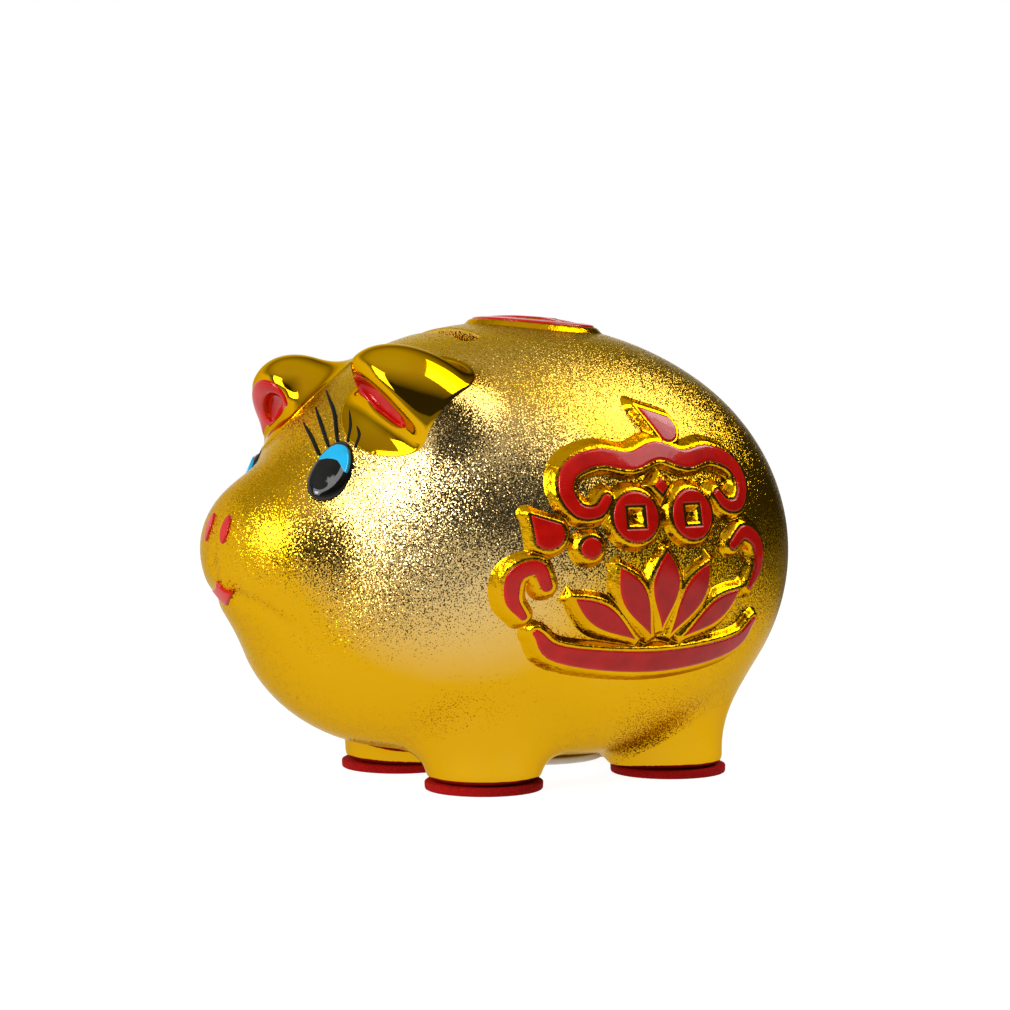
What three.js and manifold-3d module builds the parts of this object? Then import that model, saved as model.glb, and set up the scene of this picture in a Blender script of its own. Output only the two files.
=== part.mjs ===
// A gilded ceramic piggy bank with enamel ornament, a slot in its back and a rubber stopper in its belly.
// Units are millimetres and +Z is up. The pig faces -Y, so its left side is +X.
// The origin is on the floor, under the middle of the bank.
import * as THREE from 'three';
import { mergeVertices } from 'three/addons/utils/BufferGeometryUtils.js';
import Module from 'manifold-3d';

const wasm = await Module();
wasm.setup();

// Driving dimensions ---------------------------------------------------------------------------

const torso = { centre: [0, 12, 54.5], radii: [59.5, 61.5, 54.5] };
const head = { centre: [0, -9, 64.5], radii: [54, 54.5, 44] };
const jowl = { centre: [0, -26.8, 42.5], radii: [41, 41.8, 34.5] };
const snout = { centre: [0, -62.5, 57.8], radii: [22.8, 16.4, 17.8] };
const bodyCentre = [0, 2, 58];
const fillets = { head: 14, jowl: 11, snout: 11.5, belly: 8 };

const wall = 4.5;
const gap = 0.3;
const bellyHeight = 4.5;

const foot = { x: 21, frontY: -17.5, rearY: 35.5, radius: 13.4, bottom: 2.3, top: 22, bore: 9, floor: 7 };
const pad = { radius: 14.2, thickness: 2, edge: 0.5 };

const slot = { y: -17.3, length: 33, width: 4.8, bottom: 85, top: 125 };
const bellyHole = { y: 9, radius: 14.5, seatRadius: 18.5, seatHeight: 5.2, top: 25 };
const stopper = { flange: 17.5, flangeThickness: 1.6, stem: 14.2, top: 12.5, skin: 2 };
const stopperGrip = { radius: 6, depth: 2.5, flare: 1.5 };
const flangeEdge = 0.6;

const ear = { base: [27.5, -37, 90.2], tip: [22, -53.8, 102.6], radius: 13.2, middle: [26.5, -39.5, 92.5] };
const earFace = { normal: [-0.13, -0.79, -0.6], edge: 2.5 };
const earScoop = { centre: [-0.4, 6.4], radii: [5.8, 11, 3.2], turn: 0.5, edge: 1.5 };
const earLining = { halfWidth: 5, halfLength: 9.6, depth: 5, cover: 1.1 };
const earPlaces = {
  left: { shift: [0, 0, 0], ahead: 6.8 },
  right: { shift: [-5, -2, -3.4], ahead: 9 },
};

const enamelHeight = 1.9;
const paintHeight = 0.9;
const eye = { halfWidth: 5.7, halfHeight: 8, tilt: -0.12, height: 1.3 };
const iris = { rim: 1.1, pupilX: -0.6, pupilY: -0.6, pupilRadius: 3.2 };
const eyePlaces = {
  left: { centre: [19.5, -57.4, 77.1], normal: [0.42, -0.82, 0.39], lashScale: 1 },
  right: { centre: [-28, -54, 71.5], normal: [-0.57, -0.735, 0.36], lashScale: 0.2 },
};
const nostril = { centre: [4.2, -77.5, 63.5], normal: [0.12, -0.93, 0.35], halfWidth: 1.5, halfHeight: 3.5 };
const mouth = { centre: [0, -75.8, 48.6], normal: [0, -0.85, -0.51], halfWidth: 5.2, peak: 3, chin: 3.2 };
const paintReach = 6;
const eyeReach = { behind: 16, ahead: 6 };
const tail = { height: 62, tube: 1.9, curl: 5.2, tighten: 0.45, stand: 0.4, rise: 1.8 };
const tailTurn = { start: 200, sweep: 360 };
const backCoin = { y: 9, radius: 15.5, ringWidth: 3.6, hole: 3.4, windowInner: 6.6, windowTurn: [0.55, 0.4] };
const flank = { y: 6, z: 58, inside: 25, outside: 65 };

// Body form ------------------------------------------------------------------------------------

function ellipsoidDistance([x, y, z], { centre, radii }) {
  const reach = new THREE.Vector3(...radii);
  const scaled = new THREE.Vector3(x, y, z).sub(new THREE.Vector3(...centre)).divide(reach);
  const steep = scaled.clone().divide(reach);
  return scaled.length() * (scaled.length() - 1) / Math.max(steep.length(), 1e-9);
}

// Joins two distances with a fillet about as wide as blend.
function smoothUnion(a, b, blend) {
  const share = THREE.MathUtils.clamp(0.5 + 0.5 * (b - a) / blend, 0, 1);
  return b * (1 - share) + a * share - blend * share * (1 - share);
}

function smoothCut(a, b, blend) {
  return -smoothUnion(-a, -b, blend);
}

// The pig without its legs: a torso with a head, a heavy jowl and a wide snout grown in, flat underneath.
function bodyDistance(point) {
  let distance = smoothUnion(ellipsoidDistance(point, torso), ellipsoidDistance(point, head), fillets.head);
  distance = smoothUnion(distance, ellipsoidDistance(point, jowl), fillets.jowl);
  distance = smoothUnion(distance, ellipsoidDistance(point, snout), fillets.snout);
  return smoothCut(distance, bellyHeight - point[2], fillets.belly);
}

// The directions across, up and out of a face that looks along normal, with up as near to +Z as it can be.
function faceAxes(normal) {
  const out = new THREE.Vector3(...normal).normalize();
  const across = new THREE.Vector3(0, 0, 1).cross(out).normalize();
  return { across, up: out.clone().cross(across), out };
}

const earAxes = faceAxes(earFace.normal);

// The ear is half an egg that leans forward from the side of the head, cut flat and scooped out in front.
function earDistance([x, y, z], faceAhead) {
  const point = new THREE.Vector3(x, y, z).sub(new THREE.Vector3(...ear.base));
  const axis = new THREE.Vector3(...ear.tip).sub(new THREE.Vector3(...ear.base));
  const length = axis.length();
  const along = point.dot(axis) / length;
  const aside = Math.sqrt(Math.max(point.lengthSq() - along * along, 0));
  const eggForm = { centre: [0, 0, 0], radii: [ear.radius, ear.radius, length] };
  const egg = ellipsoidDistance([aside, 0, along], eggForm);
  const ahead = point.dot(earAxes.out) - faceAhead;
  const across = point.dot(earAxes.across) - earScoop.centre[0];
  const up = point.dot(earAxes.up) - earScoop.centre[1];
  const turned = [
    across * Math.cos(earScoop.turn) + up * Math.sin(earScoop.turn),
    up * Math.cos(earScoop.turn) - across * Math.sin(earScoop.turn),
    ahead,
  ];
  const scoop = ellipsoidDistance(turned, { centre: [0, 0, 0], radii: earScoop.radii });
  return smoothCut(smoothCut(egg, ahead, earFace.edge), -scoop, earScoop.edge);
}

// Solids ---------------------------------------------------------------------------------------

function solid(geometry) {
  const bare = geometry.clone();
  bare.deleteAttribute('normal');
  bare.deleteAttribute('uv');
  const merged = mergeVertices(bare, 1e-4);
  return new wasm.Manifold(new wasm.Mesh({
    numProp: 3,
    vertProperties: new Float32Array(merged.attributes.position.array),
    triVerts: new Uint32Array(merged.index.array),
  }));
}

function geometryOf(manifold) {
  const { vertProperties, triVerts } = manifold.getMesh();
  const geometry = new THREE.BufferGeometry();
  geometry.setAttribute('position', new THREE.BufferAttribute(new Float32Array(vertProperties), 3));
  geometry.setIndex(new THREE.BufferAttribute(new Uint32Array(triVerts), 1));
  return geometry;
}

// Steps out from centre along direction until the distance reaches level.
function surfacePoint(distanceTo, centre, direction, level) {
  const point = new THREE.Vector3(...centre);
  for (let step = 0; step < 80; step += 1) {
    const remaining = level - distanceTo(point.toArray());
    if (Math.abs(remaining) < 1e-4) break;
    point.addScaledVector(direction, remaining * 0.85);
  }
  return point;
}

// A closed skin at a given distance from a form that is visible all over from its centre.
function formGeometry(distanceTo, centre, detail, level) {
  const sphere = new THREE.IcosahedronGeometry(1, detail);
  sphere.deleteAttribute('normal');
  sphere.deleteAttribute('uv');
  const geometry = mergeVertices(sphere, 1e-5);
  const positions = geometry.attributes.position;
  for (let i = 0; i < positions.count; i += 1) {
    const direction = new THREE.Vector3().fromBufferAttribute(positions, i).normalize();
    const point = surfacePoint(distanceTo, centre, direction, level);
    positions.setXYZ(i, point.x, point.y, point.z);
  }
  return geometry;
}

function bodyAt(level, detail) {
  return solid(formGeometry(bodyDistance, bodyCentre, detail, level));
}

function cylinderSolid(x, y, radius, bottom, top, sides) {
  const geometry = new THREE.CylinderGeometry(radius, radius, top - bottom, sides);
  geometry.rotateX(Math.PI / 2);
  geometry.translate(x, y, (bottom + top) / 2);
  return solid(geometry);
}

const bodyDetail = 9;
const cavityDetail = 6;
const footPlaces = [
  ['front_left', foot.x, foot.frontY],
  ['front_right', -foot.x, foot.frontY],
  ['rear_left', foot.x, foot.rearY],
  ['rear_right', -foot.x, foot.rearY],
];

function stadiumShape(length, width) {
  const half = length / 2 - width / 2;
  const shape = new THREE.Shape();
  shape.moveTo(-half, -width / 2);
  shape.lineTo(half, -width / 2);
  shape.absarc(half, 0, width / 2, -Math.PI / 2, Math.PI / 2, false);
  shape.lineTo(-half, width / 2);
  shape.absarc(-half, 0, width / 2, Math.PI / 2, 3 * Math.PI / 2, false);
  return shape;
}

function bodyShell() {
  let shell = bodyAt(0, bodyDetail);
  for (const [, x, y] of footPlaces) {
    shell = shell.add(cylinderSolid(x, y, foot.radius, foot.bottom, foot.top, 28));
  }
  shell = shell.subtract(bodyAt(-wall, cavityDetail));
  for (const [, x, y] of footPlaces) {
    shell = shell.subtract(cylinderSolid(x, y, foot.bore, foot.floor, foot.top, 16));
  }
  const slotCutter = new THREE.ExtrudeGeometry(stadiumShape(slot.length, slot.width), {
    depth: slot.top - slot.bottom,
    bevelEnabled: false,
    curveSegments: 5,
  });
  slotCutter.translate(0, slot.y, slot.bottom);
  shell = shell.subtract(solid(slotCutter));
  shell = shell.subtract(cylinderSolid(0, bellyHole.y, bellyHole.radius, 0, bellyHole.top, 32));
  return shell.subtract(cylinderSolid(0, bellyHole.y, bellyHole.seatRadius, 0, bellyHole.seatHeight, 32));
}

// The stopper is a soft cup, open inside the bank, with a flange and a finger hollow underneath.
function stopperGeometry() {
  const underside = bellyHole.seatHeight - gap - stopper.flangeThickness;
  const seat = bellyHole.seatHeight - gap;
  const cupFloor = seat + stopperGrip.depth + stopper.skin;
  const profile = [
    [0, underside + stopperGrip.depth],
    [stopperGrip.radius, underside + stopperGrip.depth],
    [stopperGrip.radius + stopperGrip.flare, underside],
    [stopper.flange - flangeEdge, underside],
    [stopper.flange, underside + flangeEdge],
    [stopper.flange, seat],
    [stopper.stem, seat],
    [stopper.stem, stopper.top],
    [stopper.stem - stopper.skin, stopper.top],
    [stopper.stem - stopper.skin, cupFloor],
    [0, cupFloor],
  ];
  const geometry = new THREE.LatheGeometry(profile.map(([r, z]) => new THREE.Vector2(r, z)), 28);
  geometry.rotateX(Math.PI / 2);
  geometry.translate(0, bellyHole.y, 0);
  return geometry;
}

function padGeometry(x, y) {
  const profile = [
    [0, 0],
    [pad.radius - pad.edge, 0],
    [pad.radius, pad.edge],
    [pad.radius, pad.thickness - pad.edge],
    [pad.radius - pad.edge, pad.thickness],
    [0, pad.thickness],
  ];
  const geometry = new THREE.LatheGeometry(profile.map(([r, z]) => new THREE.Vector2(r, z)), 22);
  geometry.rotateX(Math.PI / 2);
  geometry.translate(x, y, 0);
  return geometry;
}

// Outlines for the enamel ----------------------------------------------------------------------

function polygonShape(points) {
  return new THREE.Shape(points.map(([x, y]) => new THREE.Vector2(x, y)));
}

function ellipseShape(x, y, halfWidth, halfHeight, turn = 0) {
  const shape = new THREE.Shape();
  shape.absellipse(x, y, halfWidth, halfHeight, 0, 2 * Math.PI, false, turn);
  return shape;
}

// A brush stroke along a smooth line through points, with round ends. Its half width runs from start
// over middle to end.
function strokeShape(points, [start, middle, end], steps) {
  const line = new THREE.SplineCurve(points.map(([x, y]) => new THREE.Vector2(x, y)));
  const halfWidth = (t) => (t < 0.5
    ? THREE.MathUtils.lerp(start, middle, Math.sin(Math.PI * t))
    : THREE.MathUtils.lerp(end, middle, Math.sin(Math.PI * t)));
  const left = [];
  const right = [];
  for (let i = 0; i <= steps; i += 1) {
    const t = i / steps;
    const centre = line.getPoint(t);
    const along = line.getTangent(t);
    const side = new THREE.Vector2(-along.y, along.x).multiplyScalar(halfWidth(t));
    left.push(centre.clone().add(side));
    right.unshift(centre.clone().sub(side));
  }
  const cap = (t, radius, sign) => {
    const centre = line.getPoint(t);
    const along = line.getTangent(t).multiplyScalar(sign * radius);
    const across = new THREE.Vector2(-along.y, along.x);
    return [45, 0, -45].map((degrees) => {
      const turn = THREE.MathUtils.degToRad(degrees);
      return centre.clone().addScaledVector(along, Math.cos(turn)).addScaledVector(across, Math.sin(turn));
    });
  };
  return new THREE.Shape([...left, ...cap(1, end, 1), ...right, ...cap(0, start, -1)]);
}

// A drop with a round end and a point, length long, turned anticlockwise from pointing along +X.
function dropShape(x, y, length, width, degrees) {
  const fullness = 1.2;
  const points = [];
  const turn = THREE.MathUtils.degToRad(degrees);
  const steps = 14;
  for (let i = 0; i < steps; i += 1) {
    const t = i / steps * 2 * Math.PI;
    const along = length / 2 * Math.cos(t);
    const across = width / 2 * Math.sin(t) * Math.sin(t / 2) * fullness;
    points.push([
      x + along * Math.cos(turn) - across * Math.sin(turn),
      y + along * Math.sin(turn) + across * Math.cos(turn),
    ]);
  }
  return polygonShape(points);
}

// A petal from its foot to its tip, widest above the middle.
function petalShape([footX, footY], [tipX, tipY], halfWidth) {
  const lean = 1.25;
  const footHalfWidth = 0.4;
  const points = [];
  const steps = 6;
  const length = Math.hypot(tipX - footX, tipY - footY);
  const along = [(tipX - footX) / length, (tipY - footY) / length];
  for (let i = 0; i < 2 * steps; i += 1) {
    const t = i <= steps ? i / steps : (2 * steps - i) / steps;
    const side = i <= steps ? -1 : 1;
    const across = side * (halfWidth * Math.sin(Math.PI * t ** lean) + footHalfWidth * (1 - t));
    points.push([
      footX + along[0] * length * t - along[1] * across,
      footY + along[1] * length * t + along[0] * across,
    ]);
  }
  return polygonShape(points);
}

function coinShape(x, y, radius, hole) {
  const shape = ellipseShape(x, y, radius, radius);
  shape.holes.push(new THREE.Path([
    new THREE.Vector2(x - hole, y - hole),
    new THREE.Vector2(x - hole, y + hole),
    new THREE.Vector2(x + hole, y + hole),
    new THREE.Vector2(x + hole, y - hole),
  ]));
  return shape;
}

// The flank ornament is a lotus in a boat-shaped bowl, under two coins, a cloud canopy and a pearl.
// Outlines are seen from the pig's left: +X is towards the tail and +Y is up, from the flank's middle.
const canopyLine = [
  [-13, 13.4], [-15.6, 10.6], [-20, 10.8], [-22.6, 15.4], [-20.4, 20.4], [-13, 22.9], [-5, 21.8],
  [3, 24], [11, 21.8], [19, 22.9], [26.4, 20.2], [28.4, 15.4], [25.8, 10.9], [21.4, 10.8], [19, 13.4],
];
const bowlLine = [[-28, -17.4], [-21, -22.9], [2, -25.4], [25, -22.9], [32, -17.4]];
const frontCurlLine = [[-27.4, -6.4], [-29.8, -2], [-34.2, -3.8], [-34.4, -9.4], [-31.4, -13.6]];
const rearCurlLine = [[22.4, 1.4], [26.6, 4], [31.2, 1.4], [31.6, -4.2], [28.6, -9]];
const curlHalfWidths = [1.7, 2.2, 1.2];
const flankOutlines = {
  pearl: dropShape(6, 30.5, 12, 7.5, 140),
  canopy: strokeShape(canopyLine, [1.5, 2.5, 1.5], 36),
  front_coin: coinShape(-6, 9, 6.3, 2.3),
  rear_coin: coinShape(10, 9, 6.3, 2.3),
  knot: polygonShape([[2, 13.4], [4.4, 16], [2, 18.6], [-0.4, 16]]),
  petal_middle: petalShape([2, -17.6], [2, 1.4], 3.9),
  petal_inner_front: petalShape([-0.4, -19.2], [-10.8, -1.8], 3.4),
  petal_inner_rear: petalShape([4.4, -19.2], [14.8, -1.8], 3.4),
  petal_outer_front: petalShape([-4, -20], [-21.4, -9], 2.9),
  petal_outer_rear: petalShape([8, -20], [25.4, -9], 2.9),
  bowl: strokeShape(bowlLine, [1.2, 3, 1.2], 18),
  bud: dropShape(-28, 6.4, 10, 8, 130),
  berry: ellipseShape(-17.6, 2.2, 2.9, 2.9),
  front_curl: strokeShape(frontCurlLine, curlHalfWidths, 10),
  rear_curl: strokeShape(rearCurlLine, curlHalfWidths, 10),
};

// Lashes start at the eye's rim. Their points are across and up from the eye's centre.
const lashLines = [
  [[-5.7, 4.8], [-10, 9.2], [-15.8, 14]],
  [[-3.7, 7.2], [-8.4, 12.6], [-14, 18.4]],
  [[-1.2, 8.5], [-6, 16], [-14, 23.6]],
  [[2.2, 8.6], [1.2, 12], [-1.4, 16.6]],
  [[5, 6.9], [4.8, 9.4], [3, 12]],
];
const lashHalfWidths = [0.55, 0.6, 0.25];

// Enamel laid on a form ------------------------------------------------------------------------

const layers = new Map();

// The body's skin between two heights above its surface.
function bodyLayer(low, high) {
  const key = `${low} ${high}`;
  if (!layers.has(key)) {
    layers.set(key, bodyAt(high, bodyDetail).subtract(bodyAt(low, bodyDetail)));
  }
  return layers.get(key);
}

// Turns an outline into a long prism that looks along normal, with the outline's +Y upwards.
function outlinePrism(shape, centre, normal, { behind, ahead, curveSegments = 8 }) {
  const depth = behind + ahead;
  const geometry = new THREE.ExtrudeGeometry(shape, { depth, bevelEnabled: false, curveSegments });
  geometry.translate(0, 0, -behind);
  const { across, up, out } = faceAxes(normal);
  geometry.applyMatrix4(new THREE.Matrix4().makeBasis(across, up, out));
  geometry.translate(...centre);
  return solid(geometry);
}

function outlinePrismUp(shape, place, height) {
  const geometry = new THREE.ExtrudeGeometry(shape, { depth: height, bevelEnabled: false, curveSegments: 6 });
  geometry.translate(...place);
  return solid(geometry);
}

function flankSkin(shape) {
  const flankReach = { behind: 0, ahead: flank.outside - flank.inside };
  const prism = outlinePrism(shape, [flank.inside, flank.y, flank.z], [1, 0, 0], flankReach);
  return prism.intersect(bodyLayer(gap, enamelHeight));
}

// The iris is the upper part of the eye, above the round pupil.
function irisOutline() {
  const points = [];
  for (let degrees = 10; degrees <= 170; degrees += 16) {
    const turn = THREE.MathUtils.degToRad(degrees);
    points.push([(eye.halfWidth - iris.rim) * Math.cos(turn), (eye.halfHeight - iris.rim) * Math.sin(turn)]);
  }
  for (let degrees = 140; degrees >= 20; degrees -= 24) {
    const turn = THREE.MathUtils.degToRad(degrees);
    points.push([
      iris.pupilX + iris.pupilRadius * Math.cos(turn),
      iris.pupilY + iris.pupilRadius * Math.sin(turn),
    ]);
  }
  return polygonShape(points);
}

function eyeSkin(shape, { centre, normal }, low, high) {
  return outlinePrism(shape, centre, normal, eyeReach).intersect(bodyLayer(low, high));
}

function mouthOutline() {
  const { halfWidth, peak, chin } = mouth;
  return polygonShape([
    [0, peak], [-halfWidth / 2, peak * 0.35], [-halfWidth, 0.2], [-halfWidth / 2, -chin * 0.6],
    [0, -chin], [halfWidth / 2, -chin * 0.6], [halfWidth, 0.2], [halfWidth / 2, peak * 0.35],
  ]);
}

// A coin with four windows round its middle, like a cut-out rosette.
function backCoinOutline() {
  const shape = ellipseShape(0, 0, backCoin.radius, backCoin.radius);
  const outer = backCoin.radius - backCoin.ringWidth;
  const [outerTurn, innerTurn] = backCoin.windowTurn;
  for (let quarter = 0; quarter < 4; quarter += 1) {
    const middle = quarter * Math.PI / 2 + Math.PI / 4;
    const window = new THREE.Path();
    window.absarc(0, 0, outer, middle - outerTurn, middle + outerTurn, false);
    window.absarc(0, 0, backCoin.windowInner, middle + innerTurn, middle - innerTurn, true);
    window.closePath();
    shape.holes.push(window);
  }
  const centre = new THREE.Path();
  centre.absellipse(0, 0, backCoin.hole, backCoin.hole, 0, 2 * Math.PI, true, 0);
  shape.holes.push(centre);
  return shape;
}

function backCoinSkin() {
  const place = [0, backCoin.y, torso.centre[2]];
  const prism = outlinePrismUp(backCoinOutline(), place, torso.radii[2] + 2 * enamelHeight);
  return prism.intersect(bodyLayer(gap, enamelHeight));
}

const earDetail = 7;

function earForm(level, { shift, ahead }) {
  const geometry = formGeometry((point) => earDistance(point, ahead), ear.middle, earDetail, level);
  geometry.translate(...shift);
  return solid(geometry);
}

function earSolid(place) {
  return earForm(0, place).subtract(bodyAt(gap, bodyDetail));
}

// The lining of the ear: an oval skin that follows the scoop in the front of the ear.
function earLiningSolid(place) {
  const centre = new THREE.Vector3(...ear.base)
    .addScaledVector(earAxes.out, place.ahead)
    .addScaledVector(earAxes.across, earScoop.centre[0])
    .addScaledVector(earAxes.up, earScoop.centre[1])
    .add(new THREE.Vector3(...place.shift));
  const outline = ellipseShape(0, 0, earLining.halfWidth, earLining.halfLength, earScoop.turn);
  const reach = { behind: earLining.depth, ahead: earLining.cover };
  return outlinePrism(outline, centre.toArray(), earFace.normal, reach)
    .intersect(earForm(earLining.cover, place).subtract(earForm(gap, place)))
    .subtract(bodyAt(2 * gap, bodyDetail));
}

// The tail lies against the rump as a curl that rises towards its end.
function tailGeometry() {
  const rump = surfacePoint(bodyDistance, [0, torso.centre[1], tail.height], new THREE.Vector3(0, 1, 0), 0);
  const seat = rump.y + tail.stand + tail.tube;
  const points = [];
  const steps = 15;
  for (let i = 0; i <= steps; i += 1) {
    const share = i / steps;
    const turn = THREE.MathUtils.degToRad(tailTurn.start - tailTurn.sweep * share);
    const reach = tail.curl * (1 - tail.tighten * share);
    points.push(new THREE.Vector3(
      -reach * Math.cos(turn),
      seat + tail.rise * share,
      tail.height + reach * Math.sin(turn),
    ));
  }
  const section = ellipseShape(0, 0, tail.tube, tail.tube);
  return new THREE.ExtrudeGeometry(section, {
    steps: 26,
    curveSegments: 4,
    extrudePath: new THREE.CatmullRomCurve3(points),
  });
}

// Materials and assembly -----------------------------------------------------------------------

function finish(color, roughness, metalness) {
  return new THREE.MeshStandardMaterial({ color, roughness, metalness });
}

const finishes = {
  satinGold: () => finish(0xd9a514, 0.35, 1),
  mirrorGold: () => finish(0xe3b020, 0.05, 1),
  redEnamel: () => finish(0xc4141c, 0.12, 0),
  blackEnamel: () => finish(0x0b0b0c, 0.08, 0),
  blueEnamel: () => finish(0x1787d8, 0.1, 0),
  redFelt: () => finish(0x8f1418, 0.8, 0),
  whiteRubber: () => finish(0xe9e6dc, 0.6, 0),
};

const bank = new THREE.Group();

function addPiece(name, geometry, material) {
  const mesh = new THREE.Mesh(geometry, material);
  mesh.name = name;
  bank.add(mesh);
}

function mirrored(geometry) {
  const twin = geometry.clone();
  twin.scale(-1, 1, 1);
  const index = twin.index.array;
  for (let i = 0; i < index.length; i += 3) {
    [index[i], index[i + 1]] = [index[i + 1], index[i]];
  }
  return twin;
}

// Adds a piece on the pig's left and its mirror image on the right.
function addPair(name, geometry, material) {
  addPiece(`left_${name}`, geometry, material());
  addPiece(`right_${name}`, mirrored(geometry), material());
}

addPiece('body_shell', geometryOf(bodyShell()), finishes.satinGold());
addPiece('belly_stopper', stopperGeometry(), finishes.whiteRubber());
addPiece('tail', tailGeometry(), finishes.mirrorGold());
for (const [place, x, y] of footPlaces) {
  addPiece(`${place}_foot_pad`, padGeometry(x, y), finishes.redFelt());
}

// The right ear is the left one's mirror image, but sits lower, further in and with a fuller front.
const sides = { left: (geometry) => geometry, right: mirrored };
for (const [side, turned] of Object.entries(sides)) {
  addPiece(`${side}_ear`, turned(geometryOf(earSolid(earPlaces[side]))), finishes.mirrorGold());
  addPiece(`${side}_ear_lining`, turned(geometryOf(earLiningSolid(earPlaces[side]))), finishes.redEnamel());
}

// Both eyes are painted the same way round. The right one sits further out and has short lashes.
for (const [side, place] of Object.entries(eyePlaces)) {
  const outline = ellipseShape(0, 0, eye.halfWidth, eye.halfHeight, eye.tilt);
  addPiece(`${side}_eye`, geometryOf(eyeSkin(outline, place, gap, eye.height)), finishes.blackEnamel());
  const blue = eyeSkin(irisOutline(), place, eye.height + gap, eye.height + 2 * gap);
  addPiece(`${side}_iris`, geometryOf(blue), finishes.blueEnamel());
  lashLines.forEach((points, i) => {
    const start = points[0];
    const shorter = points.map((point) => point.map((value, axis) => (
      start[axis] + place.lashScale * (value - start[axis])
    )));
    const lash = eyeSkin(strokeShape(shorter, lashHalfWidths, 4), place, gap, paintHeight);
    addPiece(`${side}_lash_${i + 1}`, geometryOf(lash), finishes.blackEnamel());
  });
}

const nostrilOutline = ellipseShape(0, 0, nostril.halfWidth, nostril.halfHeight);
const paintDepth = { behind: paintReach, ahead: paintReach };
const nostrilPrism = outlinePrism(nostrilOutline, nostril.centre, nostril.normal, paintDepth);
addPair('nostril', geometryOf(nostrilPrism.intersect(bodyLayer(gap, paintHeight))), finishes.redEnamel);
const mouthPrism = outlinePrism(mouthOutline(), mouth.centre, mouth.normal, paintDepth);
addPiece('mouth', geometryOf(mouthPrism.intersect(bodyLayer(gap, paintHeight))), finishes.redEnamel());

addPiece('back_coin', geometryOf(backCoinSkin()), finishes.redEnamel());
for (const [name, outline] of Object.entries(flankOutlines)) {
  addPair(`flank_${name}`, geometryOf(flankSkin(outline)), finishes.redEnamel);
}

export default bank;
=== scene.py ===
"""Looks for a gilded ceramic piggy bank with raised enamel ornament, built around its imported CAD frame.

The forms are worked out in millimetres and turned into meshes in metres. +Z is up and the pig faces -Y,
so its left side is +X. The pads and the stopper are turned from profiles. Every other piece is the zero level
of a distance function, which is negative inside and positive outside.
"""

import math

import bmesh
import bpy
import numpy as np
import openvdb
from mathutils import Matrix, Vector


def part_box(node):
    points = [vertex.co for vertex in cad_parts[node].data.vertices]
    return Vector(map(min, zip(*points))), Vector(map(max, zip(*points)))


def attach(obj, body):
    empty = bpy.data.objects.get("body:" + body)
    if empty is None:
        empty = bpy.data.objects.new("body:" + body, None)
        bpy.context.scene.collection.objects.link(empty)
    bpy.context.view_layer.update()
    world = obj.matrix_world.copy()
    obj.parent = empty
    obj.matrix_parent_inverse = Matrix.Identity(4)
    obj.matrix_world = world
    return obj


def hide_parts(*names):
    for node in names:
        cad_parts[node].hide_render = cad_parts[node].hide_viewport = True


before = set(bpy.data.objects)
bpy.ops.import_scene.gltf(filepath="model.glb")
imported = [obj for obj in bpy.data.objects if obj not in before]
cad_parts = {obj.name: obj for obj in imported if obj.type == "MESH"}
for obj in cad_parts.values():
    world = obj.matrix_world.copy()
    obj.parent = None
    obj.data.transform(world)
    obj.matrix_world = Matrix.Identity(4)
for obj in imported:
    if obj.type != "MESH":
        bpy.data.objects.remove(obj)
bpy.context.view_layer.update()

MM = 0.001

# Driving dimensions, in millimetres.
TORSO = ((0, 12, 54.5), (59.5, 61.5, 54.5))
HEAD = ((0, -9, 64.5), (54, 54.5, 44))
JOWL = ((0, -26.8, 42.5), (41, 41.8, 34.5))
SNOUT = ((0, -62.5, 57.8), (22.8, 16.4, 17.8))
# How widely each form melts into the ones before it.
HEAD_BLEND, JOWL_BLEND, SNOUT_BLEND, BELLY_BLEND, LEG_BLEND, EAR_FILLET = 14, 11, 11.5, 8, 9, 5
WALL, CHAMBER_EDGE = 4.5, 1
BELLY_HEIGHT = 4.5
FOOT_X, FOOT_FRONT_Y, FOOT_REAR_Y, FOOT_RADIUS, FOOT_BOTTOM = 21, -17.5, 35.5, 13.4, 2.3
LEG_MIDDLE, LEG_EDGE = 12, 2.2
PAD_RADIUS, PAD_THICKNESS = 14.2, 2.0
SLOT_Y, SLOT_LENGTH, SLOT_WIDTH, SLOT_BOTTOM, SLOT_EDGE = -17.3, 33, 4.8, 90, 0.5
BELLY_HOLE_Y, BELLY_HOLE_RADIUS, BELLY_HOLE_TOP, SEAT_RADIUS, SEAT_HEIGHT = 9, 14.5, 25, 18.5, 5.2
FLANK_Y, FLANK_Z = 6, 58
BACK_COIN_Y, BACK_COIN_RADIUS = 9, 15.5
EAR_BASE, EAR_TIP, EAR_RADIUS = (27.5, -37, 90.2), (22, -53.8, 102.6), 13.2
EAR_FRONT = (-0.13, -0.79, -0.6)
EAR_FRONT_EDGE, EAR_SCOOP_EDGE = 2.5, 1.5
EAR_SCOOP_CENTRE, EAR_SCOOP_RADII, EAR_SCOOP_TURN = (-0.4, 6.4), (5.8, 11, 3.2), 0.5
# How far each ear is shifted from its drawn place, and how far its flat front stands ahead.
EAR_PLACES = {"left": ((0, 0, 0), 6.8), "right": ((-5, -2, -3.4), 9)}
# Centre and radius of the spheres that bound the mirror-bright gilding of an ear.
EAR_GLOSS = [((23.5, -39, 92.4), 16.8), ((22.5, -49, 98), 12.5)]
# Centre across and up in the scoop, then half width and half length.
EAR_LININGS = {"left": (-0.9, 0.9, 6.3, 11), "right": (1.8, 1.2, 8.2, 12)}
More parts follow.
